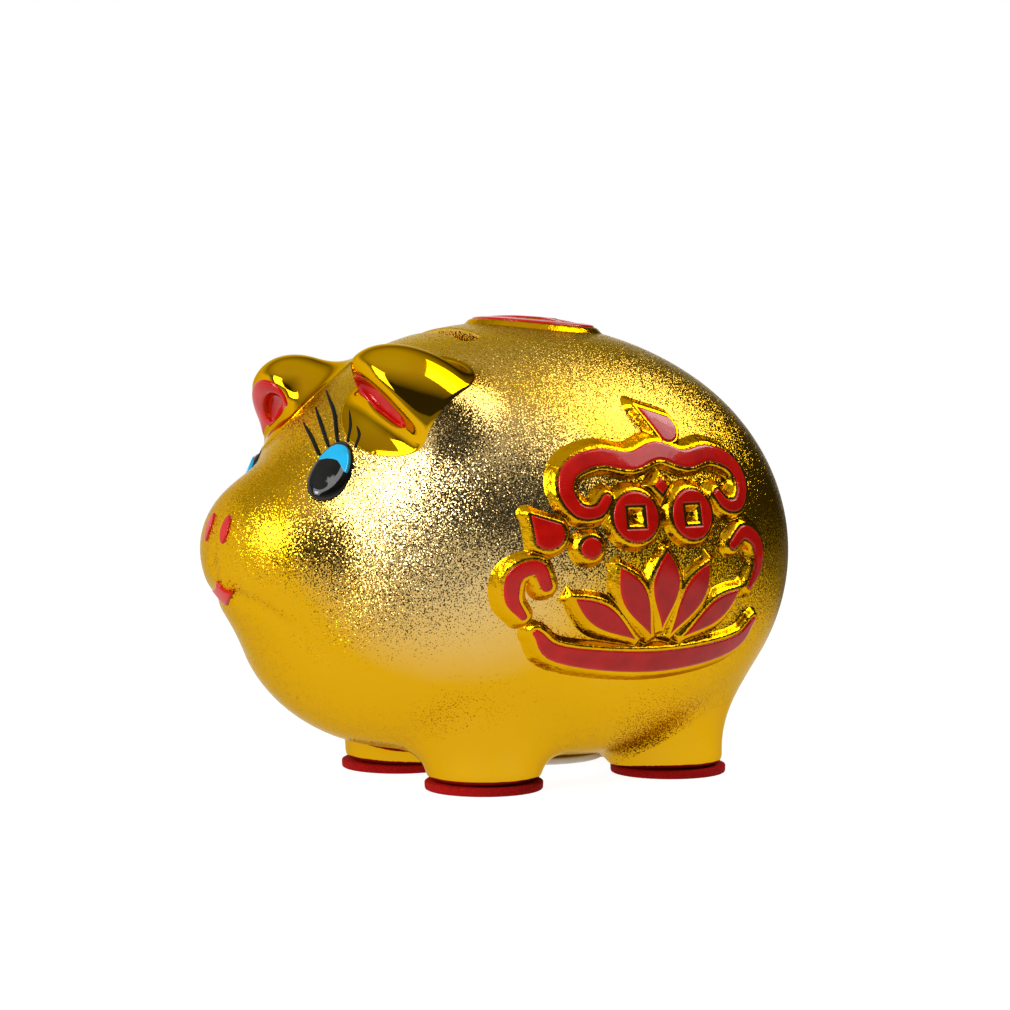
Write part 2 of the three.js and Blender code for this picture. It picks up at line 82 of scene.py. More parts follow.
# Centre, the direction that it looks in, and the scale of its lashes.
EYE_PLACES = {
    "left": ((19.5, -57.4, 77.1), (0.42, -0.82, 0.39), 1.0),
    "right": ((-28, -54, 71.5), (-0.57, -0.735, 0.36), 0.2),
}
EYE_HALF_WIDTH, EYE_HALF_HEIGHT, EYE_TILT = 5.7, 8.0, -0.12
NOSTRIL_CENTRE, NOSTRIL_NORMAL = (4.2, -77.5, 63.5), (0.12, -0.93, 0.35)
MOUTH_CENTRE, MOUTH_NORMAL = (0, -75.8, 48.6), (0, -0.85, -0.51)
TAIL_HEIGHT, TAIL_TUBE, TAIL_CURL, TAIL_STAND, TAIL_RISE, TAIL_FILLET = 62, 1.9, 5.2, 0.4, 1.8, 1.2

# The relief's crests above the skin, the width of the slope beside them, how deep the relief is rooted and
# how far its outer edge dips under the skin.
RELIEF_HEIGHT, BACK_RELIEF_HEIGHT, RELIEF_SLOPE, RELIEF_ROOT, RELIEF_SINK = 1.9, 1.0, 2.2, 1.0, 0.2
# Keeps the relief's distances short of the true ones on its slopes.
SLOPE_CAUTION = 0.6
FILLING_DEPTH, FILLING_EDGE = 0.7, 0.7

# Grid steps of the meshes: coarse for the casting, fine for what the camera sees in detail.
BODY_VOXEL, EAR_VOXEL, RELIEF_VOXEL, ENAMEL_VOXEL, LINE_VOXEL = 1.0, 0.4, 0.3, 0.25, 0.2
FAR = 1e3


# Distance functions ---------------------------------------------------------------------------

def ellipsoid(p, shape):
    centre, radii = (np.array(x, np.float32) for x in shape)
    q = (p - centre) / radii
    size = np.linalg.norm(q, axis=-1)
    steepness = np.linalg.norm(q / radii, axis=-1)
    return size * (size - 1) / np.maximum(steepness, 1e-6)


def smooth_union(a, b, blend):
    share = np.clip(0.5 + 0.5 * (b - a) / blend, 0, 1)
    return b * (1 - share) + a * share - blend * share * (1 - share)


def smooth_cut(a, b, blend):
    return -smooth_union(-a, -b, blend)


def mirrored(p):
    """The points with both sides of the pig folded onto its left."""
    return np.concatenate([np.abs(p[..., :1]), p[..., 1:]], axis=-1)


def local(p, centre, normal):
    """Coordinates across, up and out from a point on the body, for a feature that looks along normal."""
    out = np.array(normal, float) / np.linalg.norm(normal)
    across = np.cross((0, 0, 1), out)
    across /= np.linalg.norm(across)
    up = np.cross(out, across)
    q = p - np.array(centre, np.float32)
    return q @ across, q @ up, q @ out


def trunk(p):
    d = smooth_union(ellipsoid(p, TORSO), ellipsoid(p, HEAD), HEAD_BLEND)
    d = smooth_union(d, ellipsoid(p, JOWL), JOWL_BLEND)
    return smooth_union(d, ellipsoid(p, SNOUT), SNOUT_BLEND)


def legs(p):
    q = mirrored(p)
    d = np.full(p.shape[:-1], FAR, np.float32)
    for y in (FOOT_FRONT_Y, FOOT_REAR_Y):
        radial = np.hypot(q[..., 0] - FOOT_X, q[..., 1] - y) - FOOT_RADIUS
        upright = np.abs(q[..., 2] - LEG_MIDDLE) - (LEG_MIDDLE - FOOT_BOTTOM)
        d = np.minimum(d, smooth_cut(radial, upright, LEG_EDGE))
    return d


def trunk_with_belly(p):
    return smooth_cut(trunk(p), BELLY_HEIGHT - p[..., 2], BELLY_BLEND)


def stadium(x, y, length, width):
    return np.hypot(np.maximum(np.abs(x) - (length - width) / 2, 0), y) - width / 2


def ear_form(p, side):
    """Half an egg that leans forward from the side of the head, cut flat and scooped out in front."""
    shift, ahead = EAR_PLACES[side]
    base = np.array(EAR_BASE, np.float32)
    axis = np.array(EAR_TIP, np.float32) - base
    length = np.linalg.norm(axis)
    q = p - base - np.array(shift, np.float32)
    along = q @ axis / length
    aside = np.sqrt(np.maximum((q * q).sum(-1) - along ** 2, 0))
    upright = np.stack([aside, 0 * aside, along], axis=-1)
    egg = ellipsoid(upright, ((0, 0, 0), (EAR_RADIUS, EAR_RADIUS, length)))
    u, v, w = ear_face_coordinates(p, side)
    scoop = ellipsoid(np.stack([u, v, w], axis=-1), ((0, 0, 0), EAR_SCOOP_RADII))
    return smooth_cut(smooth_cut(egg, w, EAR_FRONT_EDGE), -scoop, EAR_SCOOP_EDGE)


def ear_face_coordinates(p, side):
    """Coordinates across, along and out of the scoop in the ear's flat front."""
    shift, ahead = EAR_PLACES[side]
    u, v, w = local(p - np.array(shift, np.float32), EAR_BASE, EAR_FRONT)
    u, v = u - EAR_SCOOP_CENTRE[0], v - EAR_SCOOP_CENTRE[1]
    cos, sin = math.cos(EAR_SCOOP_TURN), math.sin(EAR_SCOOP_TURN)
    return u * cos + v * sin, v * cos - u * sin, w - ahead


SMILE = [(5.5, -77, 48), (11.6, -72, 46.5), (16, -67, 41.5), (21, -62, 35), (25, -57, 29)]
PHILTRUM = [(0, -80, 58), (0, -79, 54), (0, -77, 51)]
# Each crease with its half width and its depth where it starts.
CREASES = ((SMILE, 2.4, 0.9), (PHILTRUM, 1.4, 0.7))
CREASE_FADE = 0.8


def creases(p):
    """How deep the mouth's smile lines and the groove under the nose are pressed into the skin."""
    q = mirrored(p)
    depth = np.zeros(p.shape[:-1], np.float32)
    for line, width, deepest in CREASES:
        for i, (a, b) in enumerate(zip(line, line[1:])):
            a, b = np.array(a, np.float32), np.array(b, np.float32)
            along = np.clip((q - a) @ (b - a) / ((b - a) @ (b - a)), 0, 1)
            reach = np.linalg.norm(q - a - along[..., None] * (b - a), axis=-1)
            fade = 1 - (i + along) / (len(line) - 1) * CREASE_FADE
            depth = np.maximum(depth, deepest * fade * np.exp(-(reach / width) ** 2))
    return depth


def skin(p):
    """The outer surface of the casting, before the slot and the belly hole are cut."""
    d = smooth_union(trunk_with_belly(p), legs(p), LEG_BLEND) + creases(p)
    right_side_out = p * np.array((-1, 1, 1), np.float32)
    ears = np.minimum(ear_form(p, "left"), ear_form(right_side_out, "right"))
    return smooth_union(d, ears, EAR_FILLET)


def shell(p):
    """The hollow casting, with the slot, the belly hole and the stopper's seat."""
    d = skin(p)
    slot = stadium(p[..., 0], p[..., 1] - SLOT_Y, SLOT_LENGTH, SLOT_WIDTH)
    through_back = np.maximum(slot, SLOT_BOTTOM - p[..., 2])
    d = smooth_cut(d, -through_back, SLOT_EDGE)
    hole = np.hypot(p[..., 0], p[..., 1] - BELLY_HOLE_Y)
    seat = np.maximum(hole - SEAT_RADIUS, p[..., 2] - SEAT_HEIGHT)
    through_belly = np.maximum(hole - BELLY_HOLE_RADIUS, p[..., 2] - BELLY_HOLE_TOP)
    d = np.maximum(d, -seat)
    d = np.maximum(d, -through_belly)
    return smooth_cut(d, -(trunk_with_belly(p) + WALL), CHAMBER_EDGE)


# Meshes from distance functions ---------------------------------------------------------------

def gradient(distance, p, step=0.04):
    sides = np.eye(3, dtype=np.float32) * step
    return np.stack([distance(p + s) - distance(p - s) for s in sides], axis=-1) / (2 * step)


def surface_mesh(name, distance, low, high, voxel):
    """A closed mesh of distance's zero level within a box, all in millimetres."""
    low = np.array(low, np.float32)
    counts = np.ceil((np.array(high) - low) / voxel).astype(int) + 1
    axes = [low[i] + voxel * np.arange(counts[i], dtype=np.float32) for i in range(3)]
    field = np.empty(counts, np.float32)
    for i, x in enumerate(axes[0]):
        plane = np.stack(np.meshgrid([x], axes[1], axes[2], indexing="ij"), axis=-1)
        field[i] = distance(plane)[0]
    grid = openvdb.FloatGrid(3 * voxel)
    grid.copyFromArray(np.clip(field, -3 * voxel, 3 * voxel))
    points, quads = grid.convertToQuads(isovalue=0.0)
    points = low + points.astype(np.float32) * voxel
    return add_mesh(name, settled(points, distance, 0.6 * voxel), quads[:, ::-1])


def settled(points, distance, reach):
    """Moves points onto the surface, by at most reach in each of a few steps."""
    for _ in range(3):
        slope = gradient(distance, points)
        steep = np.maximum((slope ** 2).sum(-1), 0.05)
        move = np.clip(distance(points) / steep, -reach, reach)
        points = points - slope * move[:, None]
    return points


def refine(piece, near, distance, cuts=3):
    """Splits the faces where near says so into smaller ones, and settles them onto the surface."""
    work = bmesh.new()
    work.from_mesh(piece.data)
    centres = np.array([v.co[:] for v in work.verts]) / MM
    chosen = near(centres)
    edges = [e for e in work.edges if chosen[e.verts[0].index] and chosen[e.verts[1].index]]
    bmesh.ops.subdivide_edges(work, edges=edges, cuts=cuts, use_grid_fill=True)
    bmesh.ops.triangulate(work, faces=[f for f in work.faces if len(f.verts) > 4])
    work.to_mesh(piece.data)
    work.free()
    points = np.array([v.co[:] for v in piece.data.vertices], np.float32) / MM
    inside = near(points)
    points[inside] = settled(points[inside], distance, 0.3)
    piece.data.vertices.foreach_set("co", (points * MM).ravel())
    piece.data.polygons.foreach_set("use_smooth", np.ones(len(piece.data.polygons), bool))
    piece.data.update()


def add_mesh(name, points, faces):
    """A smooth mesh object from points in millimetres."""
    mesh = bpy.data.meshes.new(name)
    mesh.from_pydata((np.asarray(points, float) * MM).tolist(), [], [list(map(int, f)) for f in faces])
    mesh.update()
    mesh.polygons.foreach_set("use_smooth", np.ones(len(mesh.polygons), bool))
    piece = bpy.data.objects.new(name, mesh)
    bpy.context.scene.collection.objects.link(piece)
    return piece


def mirror_image(piece, name):
    """The same piece on the pig's right side."""
    count = len(piece.data.vertices)
    points = np.empty(count * 3, np.float32)
    piece.data.vertices.foreach_get("co", points)
    points = points.reshape(-1, 3) * (-1 / MM, 1 / MM, 1 / MM)
    return add_mesh(name, points, [list(f.vertices)[::-1] for f in piece.data.polygons])


# Flat outlines, as signed distances -----------------------------------------------------------

def curve_points(points, steps):
    """A smooth line through points, as a Catmull-Rom spline."""
    p = np.array(points, float)
    p = np.vstack([2 * p[0] - p[1], p, 2 * p[-1] - p[-2]])
    line = []
    for i in range(len(p) - 3):
        a, b, c, d = p[i:i + 4]
        for t in np.linspace(0, 1, steps, endpoint=False):
            line.append(0.5 * (2 * b + (c - a) * t + (2 * a - 5 * b + 4 * c - d) * t ** 2
                               + (3 * b - a - 3 * c + d) * t ** 3))
    line.append(p[-2])
    return np.array(line)


def segment_distance(u, v, a, b, radius_a, radius_b):
    du, dv = b[0] - a[0], b[1] - a[1]
    along = np.clip(((u - a[0]) * du + (v - a[1]) * dv) / (du * du + dv * dv), 0, 1)
    reach = np.hypot(u - a[0] - along * du, v - a[1] - along * dv)
    return reach - (radius_a + (radius_b - radius_a) * along)


def stroke(points, half_widths, steps=6):
    """A brush stroke with round ends. Its half width runs from start over middle to end."""
    start, middle, end = half_widths
    line = curve_points(points, steps)

    def width(t):
        edge = start if t < 0.5 else end
        return edge + (middle - edge) * math.sin(math.pi * t)

    widths = [width(t) for t in np.linspace(0, 1, len(line))]

    def distance(u, v):
        d = np.full(np.shape(u), FAR, np.float32)
        for i in range(len(line) - 1):
            d = np.minimum(d, segment_distance(u, v, line[i], line[i + 1], widths[i], widths[i + 1]))
        return d

    return distance


def ellipse(x, y, half_width, half_height, turn=0.0):
    def distance(u, v):
        a = (u - x) * math.cos(turn) + (v - y) * math.sin(turn)
        b = (v - y) * math.cos(turn) - (u - x) * math.sin(turn)
        size = np.hypot(a / half_width, b / half_height)
        steepness = np.hypot(a / half_width ** 2, b / half_height ** 2)
        return size * (size - 1) / np.maximum(steepness, 1e-6)

    return distance


def drop(x, y, length, width, degrees):
    """A drop with a round end, and a point that looks along degrees."""
    turn = math.radians(degrees)
    round_radius = width / 2
    reach = length / 2 - round_radius
    ahead = np.array([math.cos(turn), math.sin(turn)])
    back = np.array([x, y]) - ahead * reach
    point = np.array([x, y]) + ahead * length / 2
    return lambda u, v: segment_distance(u, v, back, point, round_radius, 0.3)


def petal(foot, tip, half_width):
    """A petal from foot to tip, widest above the middle."""
    foot, tip = np.array(foot, float), np.array(tip, float)
    ts = np.linspace(0, 1, 15)
    widths = half_width * np.sin(np.pi * ts ** 1.25) + 0.4 * (1 - ts)
    length = np.linalg.norm(tip - foot)
    along = (tip - foot) / length

    def distance(u, v):
        t = ((u - foot[0]) * along[0] + (v - foot[1]) * along[1]) / length
        across = np.abs((v - foot[1]) * along[0] - (u - foot[0]) * along[1])
        beyond = np.maximum(-t, t - 1) * length
        inside = across - np.interp(t, ts, widths)
        return np.maximum(inside * 0.9, beyond)

    return distance


def polygon(points, steps=1):
    """A closed outline through points. It has straight sides unless steps is more than 1."""
    looped = list(points[-2:]) + list(points) + list(points[:2])
    line = curve_points(looped, steps)[2 * steps:-steps - 1]

    def distance(u, v):
        nearest = np.full(np.shape(u), FAR, np.float32)
        inside = np.zeros(np.shape(u), bool)
        for a, b in zip(line, np.roll(line, -1, axis=0)):
            nearest = np.minimum(nearest, segment_distance(u, v, a, b, 0, 0))
            if a[1] != b[1]:
                crosses = (a[1] > v) != (b[1] > v)
                inside ^= crosses & (u < (b[0] - a[0]) * (v - a[1]) / (b[1] - a[1]) + a[0])
        return np.where(inside, -nearest, nearest)

    return distance


def diamond(x, y, half_width, half_height):
    scale = half_width * half_height / math.hypot(half_width, half_height)
    return lambda u, v: (np.abs(u - x) / half_width + np.abs(v - y) / half_height - 1) * scale


def coin(x, y, radius, hole):
    """A round coin with a square hole."""
    def distance(u, v):
        square = np.maximum(np.abs(u - x), np.abs(v - y)) - hole
        return np.maximum(np.hypot(u - x, v - y) - radius, -square)

    return distance


CANOPY_LINE = [
    (-13, 13.4), (-15.6, 10.6), (-20, 10.8), (-22.6, 15.4), (-20.4, 20.4), (-13, 22.9), (-5, 21.8),
    (3, 24), (11, 21.8), (19, 22.9), (26.4, 20.2), (28.4, 15.4), (25.8, 10.9), (21.4, 10.8), (19, 13.4),
]

FRONT_CURL_LINE = [(-27.4, -6.4), (-29.8, -2), (-34.2, -3.8), (-34.4, -9.4), (-31.4, -13.6)]
REAR_CURL_LINE = [(22.4, 1.4), (26.6, 4), (31.2, 1.4), (31.6, -4.2), (28.6, -9)]

# A lotus in a boat-shaped bowl, under two coins, a cloud canopy and a pearl. Points are across (towards the
# tail) and up from the flank's middle, in millimetres.
FLANK = {
    "pearl": drop(6, 30.5, 12, 7.5, 140),
    "canopy": stroke(CANOPY_LINE, (1.5, 2.5, 1.5), 4),
    "front_coin": coin(-6, 9, 6.3, 2.3),
    "rear_coin": coin(10, 9, 6.3, 2.3),
    "knot": diamond(2, 16, 2.4, 2.6),
    "petal_middle": petal((2, -17.6), (2, 1.4), 3.9),
    "petal_inner_front": petal((-0.4, -19.2), (-10.8, -1.8), 3.4),
    "petal_inner_rear": petal((4.4, -19.2), (14.8, -1.8), 3.4),
    "petal_outer_front": petal((-4, -20), (-21.4, -9), 2.9),
    "petal_outer_rear": petal((8, -20), (25.4, -9), 2.9),
    "bowl": stroke([(-28, -17.4), (-21, -22.9), (2, -25.4), (25, -22.9), (32, -17.4)], (1.2, 3, 1.2)),
    "bud": drop(-28, 6.4, 10, 8, 130),
    "berry": ellipse(-17.6, 2.2, 2.9, 2.9),
    "front_curl": stroke(FRONT_CURL_LINE, (1.7, 2.2, 1.2)),
    "rear_curl": stroke(REAR_CURL_LINE, (1.7, 2.2, 1.2)),
}


# Materials ------------------------------------------------------------------------------------

def material(name, base, metallic, roughness, coat=0.0):
    m = bpy.data.materials.new(name)
    m.use_nodes = True
    shader = m.node_tree.nodes["Principled BSDF"]
    shader.inputs["Base Color"].default_value = (*base, 1)
    shader.inputs["Metallic"].default_value = metallic
    shader.inputs["Roughness"].default_value = roughness
    shader.inputs["Coat Weight"].default_value = coat
    shader.inputs["Coat Roughness"].default_value = 0.03
    return m, m.node_tree, shader


def node(tree, kind, inputs=None, **settings):
    n = tree.nodes.new(kind)
    for key, value in settings.items():
        setattr(n, key, value)
    for key, value in (inputs or {}).items():
        if isinstance(value, bpy.types.NodeSocket):
            tree.links.new(value, n.inputs[key])
        else:
            n.inputs[key].default_value = value
    return n


def on_object(tree):
    """The place on the object, in metres."""
    return node(tree, "ShaderNodeTexCoord").outputs["Object"]


def noise(tree, scale, detail=2.0, roughness=0.5):
    """Noise over the object, with scale in features per metre."""
    spot = on_object(tree)
    return node(tree, "ShaderNodeTexNoise",
                {"Vector": spot, "Scale": scale, "Detail": detail, "Roughness": roughness}).outputs["Fac"]


def remap(tree, value, low, high, out_low, out_high):
    return node(tree, "ShaderNodeMapRange",
                {"Value": value, "From Min": low, "From Max": high, "To Min": out_low, "To Max": out_high}
                ).outputs["Result"]


def tinted(tree, shader, value, dark, light):
    """Lets the base colour wander between dark and light."""
    ramp = node(tree, "ShaderNodeValToRGB", {"Fac": value})
    ramp.color_ramp.elements[0].position = 0.3
    ramp.color_ramp.elements[0].color = (*dark, 1)
    ramp.color_ramp.elements[1].position = 0.7
    ramp.color_ramp.elements[1].color = (*light, 1)
    tree.links.new(ramp.outputs["Color"], shader.inputs["Base Color"])


def combined(tree, values, operation):
    """One value from several, by a maths operation such as MAXIMUM."""
    total = values[0]
    for value in values[1:]:
        total = node(tree, "ShaderNodeMath", {0: total, 1: value}, operation=operation).outputs[0]
    return total


def in_spheres(tree, spheres):
    """1 inside any of the spheres, the same on both sides of the pig.

    A sphere is its centre, its radius and the radius at which it has faded to 0, in millimetres.
    """
    split = node(tree, "ShaderNodeSeparateXYZ", {0: on_object(tree)}).outputs
    side = node(tree, "ShaderNodeMath", {0: split[0]}, operation="ABSOLUTE").outputs[0]
    folded = node(tree, "ShaderNodeCombineXYZ", {0: side, 1: split[1], 2: split[2]}).outputs[0]
    shares = []
    for centre, radius, faded in spheres:
        metres = [c * MM for c in centre]
        away = node(tree, "ShaderNodeVectorMath", {0: folded, 1: metres}, operation="DISTANCE")
        shares.append(remap(tree, away.outputs["Value"], radius * MM, faded * MM, 1.0, 0.0))
    return combined(tree, shares, "MAXIMUM")


# The gilding is mirror-bright round each foot. On the cheeks a painted highlight makes the base colour paler
# gold.
FOOT_GLOSS = [((FOOT_X, FOOT_FRONT_Y, 0), 20.5, 20.7), ((24, 42, 0), 21.5, 21.7)]
CHEEK_HIGHLIGHT_SPHERES = [((46, -38, 68), 14, 42)]

GOLD = (0.80, 0.43, 0.004)
GOLD_DEEP = (0.72, 0.35, 0.003)
# A pale gold used only for the painted highlight, not a colour of the gilding itself.
GOLD_PAINTED_HIGHLIGHT = (0.80, 0.56, 0.22)
# How much of a grazing reflection each colour keeps.
GOLD_EDGE = (0.75, 0.6, 0.12, 1)
# The heights, in metres, between which a painted highlight turns the gilding's base colour paler towards the
# top.
PAINTED_HIGHLIGHT_FROM, PAINTED_HIGHLIGHT_TO = 0.075, 0.11

GRAINS_PER_METRE = 2800
GRAIN_TIP = 1.5


def grains(tree, amount):
    """A normal that tips a little at random from one grain to the next."""
    speckle = node(tree, "ShaderNodeTexNoise",
                   {"Vector": on_object(tree), "Scale": GRAINS_PER_METRE, "Detail": 1.0}).outputs["Color"]
    centred = node(tree, "ShaderNodeVectorMath",
                   {0: speckle, 1: (0.5, 0.5, 0.5)}, operation="SUBTRACT").outputs[0]
    tip = node(tree, "ShaderNodeVectorMath", {0: centred, "Scale": amount}, operation="SCALE").outputs[0]
    upright = node(tree, "ShaderNodeNewGeometry").outputs["Normal"]
    tipped = node(tree, "ShaderNodeVectorMath", {0: upright, 1: tip}, operation="ADD").outputs[0]
    return node(tree, "ShaderNodeVectorMath", {0: tipped}, operation="NORMALIZE").outputs[0]


def satin_gold():
    """Gilding over a sanded glaze, with grains that catch the light, and a painted highlight that makes the
    base colour paler on top and on the cheeks.
    """
    m, tree, shader = material("satin_gold", GOLD, 1.0, 0.1, coat=0.08)
    shader.inputs["Specular Tint"].default_value = GOLD_EDGE
    shader.inputs["Coat Roughness"].default_value = 0.22
    height = node(tree, "ShaderNodeSeparateXYZ", {0: on_object(tree)}).outputs[2]
    # Painted highlight: the base colour turns paler towards the top and on the cheeks.
    top = remap(tree, height, PAINTED_HIGHLIGHT_FROM, PAINTED_HIGHLIGHT_TO, 0.3, 0.48)
    cheek_highlight = remap(tree, in_spheres(tree, CHEEK_HIGHLIGHT_SPHERES), 0, 1, 0.3, 0.75)
    painted_highlight = combined(tree, [top, cheek_highlight], "MAXIMUM")
    wander = remap(tree, noise(tree, 60, 3), 0, 1, -0.05, 0.05)
    mixed = node(tree, "ShaderNodeMath", {0: painted_highlight, 1: wander}, operation="ADD").outputs[0]
    tinted(tree, shader, mixed, GOLD, GOLD_PAINTED_HIGHLIGHT)
    gloss = in_spheres(tree, FOOT_GLOSS)
    tree.links.new(remap(tree, gloss, 0, 1, 0.1, 0.04), shader.inputs["Roughness"])
    tree.links.new(grains(tree, remap(tree, gloss, 0, 1, GRAIN_TIP, 0.0)), shader.inputs["Normal"])
    return m


def mirror_gold():
    m, tree, shader = material("mirror_gold", GOLD, 1.0, 0.05)
    shader.inputs["Specular Tint"].default_value = GOLD_EDGE
    tinted(tree, shader, noise(tree, 80, 2), GOLD_DEEP, GOLD)
    tree.links.new(remap(tree, noise(tree, 400, 3), 0.3, 0.7, 0.03, 0.09), shader.inputs["Roughness"])
    waves = node(tree, "ShaderNodeBump",
                 {"Strength": 0.25, "Distance": 0.0004, "Height": noise(tree, 90, 2)})
    tree.links.new(waves.outputs["Normal"], shader.inputs["Normal"])
    return m


def relief_gold():
    """Gilding over the raised ornament: bright, but rippled where the glaze ran between the shapes."""
    m, tree, shader = material("relief_gold", GOLD, 1.0, 0.08)
    shader.inputs["Specular Tint"].default_value = GOLD_EDGE
    tinted(tree, shader, noise(tree, 120, 2), GOLD_DEEP, GOLD)
    ripple = node(tree, "ShaderNodeBump",
                  {"Strength": 0.5, "Distance": 0.0005, "Height": noise(tree, 650, 3, 0.6)})
    tree.links.new(ripple.outputs["Normal"], shader.inputs["Normal"])
    return m


def enamel(name, dark, light, roughness=0.15, coat=0.25, specular=0.5):
    """Fired enamel: a deep colour under a clear, faintly wavy gloss."""
    m, tree, shader = material(name, light, 0.0, roughness, coat=coat)
    shader.inputs["Specular IOR Level"].default_value = specular
    tinted(tree, shader, noise(tree, 220, 3), dark, light)
    waves = node(tree, "ShaderNodeBump",
                 {"Strength": 0.3, "Distance": 0.0002, "Height": noise(tree, 350, 2)})
    tree.links.new(waves.outputs["Normal"], shader.inputs["Normal"])
    return m


def felt():
    m, tree, shader = material("pad_felt", (0.33, 0.008, 0.012), 0.0, 0.9)
    shader.inputs["Specular IOR Level"].default_value = 0.1
    tinted(tree, shader, noise(tree, 1800, 3), (0.22, 0.002, 0.002), (0.4, 0.004, 0.003))
    fibres = node(tree, "ShaderNodeBump",
                  {"Strength": 0.6, "Distance": 0.0003, "Height": noise(tree, 3500, 4, 0.7)})
    tree.links.new(fibres.outputs["Normal"], shader.inputs["Normal"])
    return m


def rubber():
    m, tree, shader = material("stopper_rubber", (0.72, 0.7, 0.64), 0.0, 0.5)
    tinted(tree, shader, noise(tree, 150, 3), (0.62, 0.6, 0.54), (0.76, 0.74, 0.68))
    grain = node(tree, "ShaderNodeBump",
                 {"Strength": 0.2, "Distance": 0.0002, "Height": noise(tree, 1200, 3)})
    tree.links.new(grain.outputs["Normal"], shader.inputs["Normal"])
    return m


MATERIALS = {
    "satin_gold": satin_gold(),
    "mirror_gold": mirror_gold(),
    "relief_gold": relief_gold(),
    "red_enamel": enamel("red_enamel", (0.42, 0.004, 0.002), (0.56, 0.008, 0.004), 0.12, 0.1, 0.25),
    "black_enamel": enamel("black_enamel", (0.003, 0.003, 0.002), (0.008, 0.008, 0.006), 0.06, 0.3, 0.3),
    "black_paint": enamel("black_paint", (0.003, 0.003, 0.002), (0.008, 0.008, 0.006), 0.6, 0.0, 0.1),
    "blue_enamel": enamel("blue_enamel", (0.005, 0.33, 0.62), (0.008, 0.44, 0.78)),
    "pad_felt": felt(),
    "stopper_rubber": rubber(),
}


def place(piece, look, body="bank", replaces=()):
    """Finishes a piece: its material, the body it rides on and the CAD nodes that it stands for."""
    piece.data.materials.append(MATERIALS[look])
    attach(piece, body)
    if replaces:
        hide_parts(*replaces)
    return piece


def place_pair(piece, name, look, replaces=True):
    """Places a piece made for the pig's left and its mirror image on the right."""
    twin = mirror_image(piece, f"right_{name}")
    piece.name = piece.data.name = f"left_{name}"
    for side, half in (("left", piece), ("right", twin)):
        place(half, look, replaces=[f"{side}_{name.removesuffix('_skin')}"] if replaces else ())


# Pieces ---------------------------------------------------------------------------------------

def near_slot(points):
    margin, lowest = 4, 96
    around = stadium(points[:, 0], points[:, 1] - SLOT_Y, SLOT_LENGTH + margin, SLOT_WIDTH + margin)
    return (around < 0) & (points[:, 2] > lowest)


def near_belly_hole(points):
    margin, highest = 1.5, 12
    away = np.hypot(points[:, 0], points[:, 1] - BELLY_HOLE_Y)
    ring = (away > BELLY_HOLE_RADIUS - margin) & (away < SEAT_RADIUS + margin)
    return ring & (points[:, 2] < highest)


def make_body():
    body = surface_mesh("body_shell_skin", shell, (-63, -81, 0), (63, 77, 115), BODY_VOXEL)
    refine(body, near_slot, shell)
    refine(body, near_belly_hole, shell)
    place(body, "satin_gold", replaces=["body_shell"])


def layer(p, low, high):
    """Distance to the layer between two heights above the trunk."""
    height = trunk(p)
    return np.maximum(height - high, low - height)


def make_ears():
    """Each ear is drawn on the pig's left, in its own place, and the right one is then mirrored."""
    for side, (shift, _) in EAR_PLACES.items():
        lining_outline = ellipse(*EAR_LININGS[side])

        def ear(p):
            grown = smooth_union(trunk(p), ear_form(p, side), EAR_FILLET)
            q = p - np.array(shift, np.float32)
            patch = np.minimum.reduce([np.linalg.norm(q - np.array(centre, np.float32), axis=-1) - radius
                                       for centre, radius in EAR_GLOSS])
            return np.maximum(np.maximum(grown - 0.2, patch), -(grown + 0.8))

        def lining(p):
            u, v, w = ear_face_coordinates(p, side)
            grown = smooth_union(trunk(p), ear_form(p, side), EAR_FILLET)
            front = np.maximum(w - 1, -5 - w)
            sheet = np.maximum(grown - 0.5, -(grown + 0.6))
            return smooth_cut(np.maximum(lining_outline(u, v), front), sheet, 0.5)

        for piece_name, form, look, voxel in (
            ("ear", ear, "mirror_gold", EAR_VOXEL),
            ("ear_lining", lining, "red_enamel", ENAMEL_VOXEL),
        ):
            name = f"{side}_{piece_name}_skin"
            piece = surface_mesh(name, form, (2, -66, 72), (46, -16, 116), voxel)
            if side == "right":
                left_twin = piece
                piece = mirror_image(left_twin, name)
                bpy.data.objects.remove(left_twin)
            place(piece, look, replaces=[f"{side}_{piece_name}"])


def feature(outline, centre, normal, low, high, rounding):
    """A skin of enamel on the body inside a flat outline that looks along normal."""
    def distance(p):
        u, v, _ = local(p, centre, normal)
        return smooth_cut(outline(u, v), layer(p, low, high), rounding)

    return distance


def node_box(name, margin):
    """The millimetre box of a CAD node, grown by margin."""
    low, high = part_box(name)
    return np.array(low) / MM - margin, np.array(high) / MM + margin


# The iris is a crescent. It and the lashes are drawn across and up from the middle of the eye.
IRIS = [
    (-3.7, 2.5), (-2.1, 5.2), (0.4, 6.5), (3.6, 5.5), (5.2, 1.8),
    (4.9, -0.4), (3.8, 0.1), (1.8, 2.2), (-1, 2.7),
]
LASHES = [
    [(-5.4, 4.5), (-10, 9.2), (-15.8, 14)],
    [(-3.5, 6.8), (-8.4, 12.6), (-14, 18.4)],
    [(-1.1, 8), (-6, 16), (-14, 23.6)],
    [(2.1, 8), (1.2, 12), (-1.4, 16.6)],
    [(4.8, 6.5), (4.8, 9.4), (3, 12)],
]


